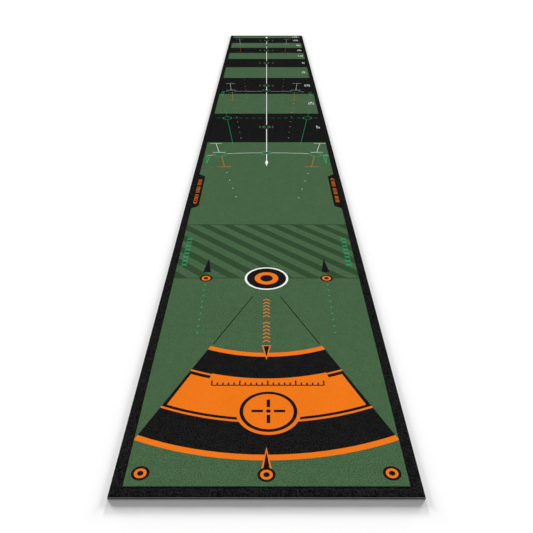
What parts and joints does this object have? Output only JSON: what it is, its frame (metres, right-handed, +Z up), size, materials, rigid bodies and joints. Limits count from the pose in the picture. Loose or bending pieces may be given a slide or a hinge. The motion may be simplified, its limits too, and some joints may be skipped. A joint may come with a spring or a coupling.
{
  "type": "practice putting mat",
  "caption": "Long thin putting mat: a printed tufted carpet bonded to a rubber sheet and framed by mitred rubber edge strips, with a round target marked near an end.",
  "frame": {"origin": "the middle of the mat's underside, on the floor", "axes": "+Z up out of the putting surface, +Y along the mat from the target end to the start end, +X to the right for somebody who stands beyond the target end and looks along the mat"},
  "size_m": [0.5, 4, 0.0055],
  "materials": {
    "base_rubber": "matte",
    "edge_rubber": "matte",
    "tie_gum": "matte",
    "fleece": "matte",
    "pile": "matte"
  },
  "bodies": {
    "root": {"rubber_sheet": "base_rubber", "tie_gum": "tie_gum", "tufting_fleece": "fleece", "printed_pile": "pile", "edge_strip_target_end": "edge_rubber", "edge_strip_right": "edge_rubber", "edge_strip_start_end": "edge_rubber", "edge_strip_left": "edge_rubber"}
  },
  "joints": []
}
